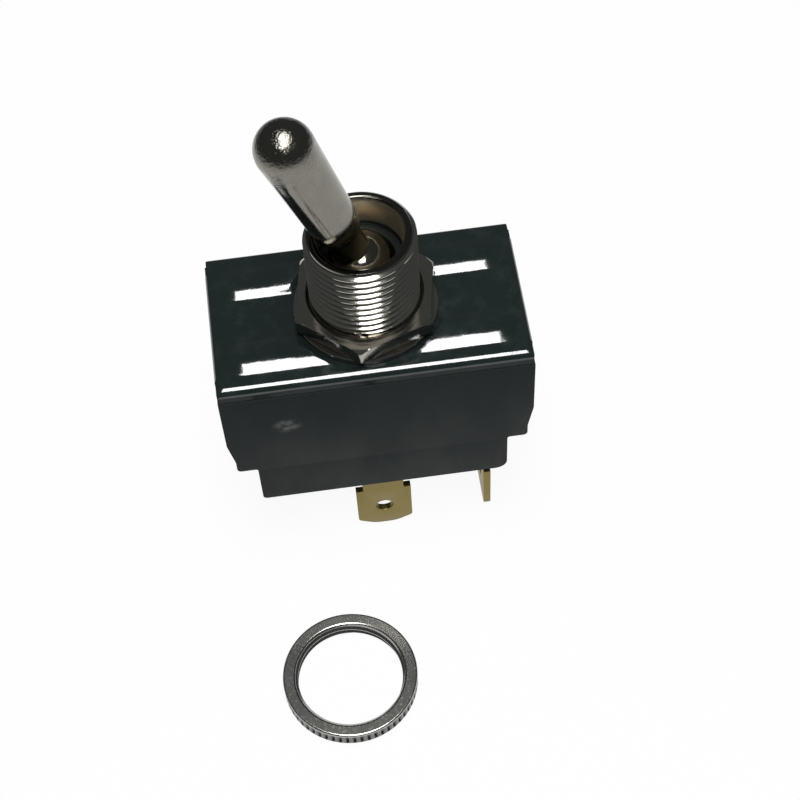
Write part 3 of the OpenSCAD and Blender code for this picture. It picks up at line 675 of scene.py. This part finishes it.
def build_nut():
    """The hexagon with its upper corners chamfered, and a bore close to the bushing."""
    top, low = WASHER_T + NUT_T, WASHER_T
    edge = NUT_AF / math.sqrt(3) - NUT_CHAMFER
    slope = math.tan(math.radians(38))

    def chamfer(a):
        return top - max(0.0, hexagon(a) - edge) * slope

    def shoulder(share):
        """From the flat top's rim (0) over the chamfer to the wall's upper edge (1)."""
        def row(a):
            r = min(edge, hexagon(a) - 0.05)
            r += (hexagon(a) - r) * share
            return r, top - max(0.0, r - edge) * slope - (0.05 if share == 1 else 0.0)
        return row

    rows = [(MESH_R + 0.15, low + 0.01), lambda a: (hexagon(a) - 0.12, low + 0.01),
            lambda a: (hexagon(a), low + 0.1), lambda a: (hexagon(a), chamfer(a) - 0.25),
            shoulder(1), shoulder(0.5), shoulder(0), (THREAD_R + 0.7, top), (THREAD_R + 0.42, top),
            (THREAD_R + 0.14, top - 0.14), (MESH_R + 0.05, top - 0.35), (MESH_R + 0.05, low + 0.2)]
    return turned("nut_look", rows, 288, 22)


dress(build_nut(), "hex_nut", "switch_body", nickel)


def build_washer():
    """The lock washer: a flat ring with springy teeth inside."""
    def inner(z):
        def row(a):
            t = (WASHER_TEETH * a / TAU) % 1.0
            tooth = smooth_step((abs(t - 0.5) - 0.22) / 0.05)
            return THREAD_R + 0.06 + WASHER_GAP * (1 - tooth), z
        return row

    rows = [inner(0.02), (WASHER_R - 0.08, 0.0), (WASHER_R, 0.08), (WASHER_R, WASHER_T - 0.08),
            (WASHER_R - 0.08, WASHER_T), inner(WASHER_T - 0.02)]
    return turned("washer_look", rows, 200, LOOSE_CREASE)


dress(build_washer(), "lock_washer", "switch_body", nickel)


def build_ring():
    """The face nut: a plain rim over a straight knurl, and two turns of thread inside."""
    crest = THREAD_R - 0.02
    under = RING_H - RING_RIM

    def knurled(r, z, share=1.0):
        def row(a):
            t = (KNURLS * a / TAU + 0.5) % 1.0
            notch = smooth_step(1 - abs(t - 0.5) / 0.4)
            return min(r, RING_R - 0.02 - KNURL_DEPTH * notch * share), z
        return row

    rows = [(RING_R - 0.28, 0.0), (RING_R - 0.09, 0.06), (RING_R - 0.04, 0.14),
            knurled(RING_R - 0.03, 0.2, 0.4)]
    rows += [knurled(RING_R, z) for z in (0.32, 0.7, 1.1, under - 0.1)]
    rows += [knurled(RING_R, under, 0.5), (RING_R - 0.01, under + 0.05), (RING_R, RING_H - 0.22)]
    rows += arc(RING_R - 0.2, RING_H - 0.2, 0.2, 15, 90, 4)
    rows += [(RING_R - 0.24, RING_H), (THREAD_R + 0.5, RING_H), (THREAD_R + 0.45, RING_H),
             (THREAD_R + 0.36, RING_H - 0.05)]

    def cap(z):
        edge = min(z, RING_H - z)
        return THREAD_R + 0.38 - edge * 0.9

    first = len(rows)
    rows += reversed(thread_rows(crest, RING_THREAD_DEPTH, 0.05, RING_H - 0.1, 1, cap))
    screw = (first, len(rows) - 1, -len(THREAD_FORM))
    rows += [(THREAD_R + 0.36, 0.05), (THREAD_R + 0.45, 0.0)]
    place = Matrix.Translation(Vector((RING_X, RING_Y, FLOOR_Z)) * MM)
    return turned("ring_look", rows, KNURLS * 10, 30, place, screw)


dress(build_ring(), "face_nut", "switch_body", ring_nickel)


# ---- Lever ----

def lever_place():
    """From the lever's own axis to its place at rest."""
    return Matrix.Translation((0, 0, PIVOT_Z * MM)) @ Euler((0, math.radians(-TILT), 0)).to_matrix().to_4x4()


def build_lever():
    """Bat, neck, ball and hollow stem, turned about the lever's own axis."""
    join = math.degrees(math.asin((BAT_TIP_R - BAT_LOW_R) / (BAT_L - BAT_LOW_A)))
    rows = [(0.0, BAT_L + BAT_TIP_R)]
    rows += arc(0, BAT_L, BAT_TIP_R, 88, -join, 40)
    low = BAT_LOW_A
    rows += [(BAT_LOW_R + (BAT_TIP_R - BAT_LOW_R) * t, low + (BAT_L - low) * t)
             for t in (0.9, 0.75, 0.6, 0.45, 0.3, 0.15)]
    rows += [(BAT_LOW_R, low), (BAT_LOW_R - 0.02, low - 0.2), (BAT_LOW_R - 0.10, low - 0.42),
             (BAT_LOW_R - 0.24, low - 0.62), (BAT_LOW_R - 0.42, low - 0.78), (NECK_R + 0.08, low - 1.0),
             (NECK_R, low - 1.3)]
    meet = math.degrees(math.acos(NECK_R / BALL_R))     # where the neck meets the ball
    neck_foot = BALL_R * math.sin(math.radians(meet))
    rows += [(NECK_R, low - 2.2), (NECK_R, neck_foot + 0.25), (NECK_R + 0.06, neck_foot + 0.06)]
    rows += arc(0, 0, BALL_R, meet - 2, -meet, 44)
    rows += [(STEM_R, -BALL_R - 0.6), (STEM_R, -STEM_L + 0.3), (STEM_R - 0.15, -STEM_L),
             (TIP_BORE_R + 0.05, -STEM_L), (TIP_BORE_R, -STEM_L + 0.1), (TIP_BORE_R, -SPRING_TOP_A),
             (0.0, -SPRING_TOP_A)]
    ob = turned("lever_look", rows, 144)
    reach, hole = 8, PIN_R + 0.02
    pin = turned("pin_cutter", [(0, -reach), (hole, -reach), (hole, reach), (0, reach)], 48,
                 place=Euler((math.pi / 2, 0, 0)).to_matrix().to_4x4())
    cut(ob, pin)
    ob.data.transform(lever_place())
    return ob


dress(build_lever(), "bat_lever", "lever", lever_nickel_shaded)


def build_spring():
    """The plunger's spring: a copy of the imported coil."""
    ob = nodes["plunger_spring"].copy()
    ob.data = ob.data.copy()
    ob.name = ob.data.name = "spring_look"
    bpy.context.scene.collection.objects.link(ob)
    return ob


spring = build_spring()
dress(spring, "plunger_spring", "lever", steel)
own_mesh(spring)


# ---- Terminals ----

for end in ("common_terminal", "throw_terminal"):
    for side in ("front", "back"):
        name = end + "_" + side
        dress(rounded_copy(name, BLADE_ROUND), name, "switch_body", brass)


# ---- Pieces shown as the CAD has them ----

for node, material in (("pivot_pin", steel), ("plunger", brass), ("actuator", nylon),
                       ("insulator_sheet", fibre)):
    finish_node(node, material)
for side in ("front", "back"):
    for node, material in (("contact_arm", copper), ("moving_contact", silver), ("cradle", copper),
                           ("common_rivet", brass), ("fixed_contact", silver)):
        finish_node(node + "_" + side, material)


# ---- Stage, light and camera ----

FLOOR_HALF = 1.2                    # metres
PAPER_SHOWS = 0.94                  # share of plain white that camera, mirrors and glass see
PAPER_FROM, PAPER_TO = 0.105, 0.21  # metres from the origin between which the paper fades into the table
PAPER_TONE, TABLE_TONE = (0.86, 0.86, 0.86, 1), (0.16, 0.165, 0.165, 1)
ROOM_TONE = (0.085, 0.09, 0.09, 1)
KEY_PLACE, KEY_SIZE, KEY_POWER = (0, -80, 432), (150, 335), 2.3     # millimetres, and watts


def build_floor():
    """White paper near the switch, which fades into a grey table.
    Camera, mirrors and glass see it nearly plain white, with a little of its light and shadow."""
    z = FLOOR_Z * MM
    me = bpy.data.meshes.new("floor")
    me.from_pydata([(-FLOOR_HALF, -FLOOR_HALF, z), (FLOOR_HALF, -FLOOR_HALF, z),
                    (FLOOR_HALF, FLOOR_HALF, z), (-FLOOR_HALF, FLOOR_HALF, z)], [], [(0, 1, 2, 3)])
    ob = placed("floor", me)
    mat = bpy.data.materials.new("floor_paper")
    mat.use_nodes = True
    tree = mat.node_tree
    tree.nodes.clear()

    def node(kind, inputs, **props):
        """A node with its inputs set to values or linked to outputs."""
        n = tree.nodes.new(kind)
        for key, value in props.items():
            setattr(n, key, value)
        for key, value in inputs.items():
            if hasattr(value, "is_output"):
                tree.links.new(value, n.inputs[key])
            else:
                n.inputs[key].default_value = value
        return n.outputs

    path = node("ShaderNodeLightPath", {})
    seen = node("ShaderNodeMath", {0: path["Is Camera Ray"], 1: path["Is Glossy Ray"]}, operation="MAXIMUM")
    seen = node("ShaderNodeMath", {0: seen[0], 1: path["Is Transmission Ray"]}, operation="MAXIMUM")
    share = node("ShaderNodeMath", {0: seen[0], 1: PAPER_SHOWS}, operation="MULTIPLY")
    paper = node("ShaderNodeBsdfDiffuse", {"Color": PAPER_TONE})
    white = node("ShaderNodeEmission", {"Strength": 1.0})
    near = node("ShaderNodeMixShader", {0: share[0], 1: paper[0], 2: white[0]})
    coord = node("ShaderNodeTexCoord", {})
    far = node("ShaderNodeVectorMath", {0: coord["Object"]}, operation="LENGTH")
    edge = node("ShaderNodeMapRange", {"Value": far["Value"], "From Min": PAPER_FROM, "From Max": PAPER_TO})
    table = node("ShaderNodeBsdfDiffuse", {"Color": TABLE_TONE})
    sheet = node("ShaderNodeMixShader", {0: edge["Result"], 1: near[0], 2: table[0]})
    node("ShaderNodeOutputMaterial", {"Surface": sheet[0]})
    me.materials.append(mat)


def area_light(name, place_mm, size_mm, power):
    """A soft lamp that faces the origin."""
    data = bpy.data.lights.new(name, "AREA")
    data.shape = "RECTANGLE"
    data.size, data.size_y = size_mm[0] * MM, size_mm[1] * MM
    data.energy = power
    ob = placed(name, data)
    ob.location = Vector(place_mm) * MM
    ob.rotation_euler = Vector(place_mm).to_track_quat("Z", "Y").to_euler()


build_floor()
area_light("key_softbox", KEY_PLACE, KEY_SIZE, KEY_POWER)

world = bpy.data.worlds.new("studio")
bpy.context.scene.world = world
world.use_nodes = True
sky = world.node_tree.nodes["Background"]
sky.inputs["Color"].default_value = ROOM_TONE
sky.inputs["Strength"].default_value = 1.0

# The camera that fits the photograph: its place in millimetres, and the way its axes point
CAM_PLACE = Vector((-5.50, -117.0, 155.27))
CAM_RIGHT = Vector((0.99079, -0.13028, -0.03695))
CAM_DOWN = Vector((-0.12924, -0.82830, -0.54515))
CAM_AHEAD = Vector((0.04042, 0.54490, -0.83750))

cam_data = bpy.data.cameras.new("camera")
cam = placed("camera", cam_data)
turn = Matrix((CAM_RIGHT, -CAM_DOWN, -CAM_AHEAD)).transposed()
cam.matrix_world = Matrix.Translation(CAM_PLACE * MM) @ turn.to_4x4()
cam_data.sensor_width = 36
cam_data.lens = 81.83
cam_data.shift_x, cam_data.shift_y = -0.0048, 0.0335
cam_data.clip_start = 0.005
bpy.context.scene.camera = cam

bpy.context.scene.view_settings.view_transform = "Standard"
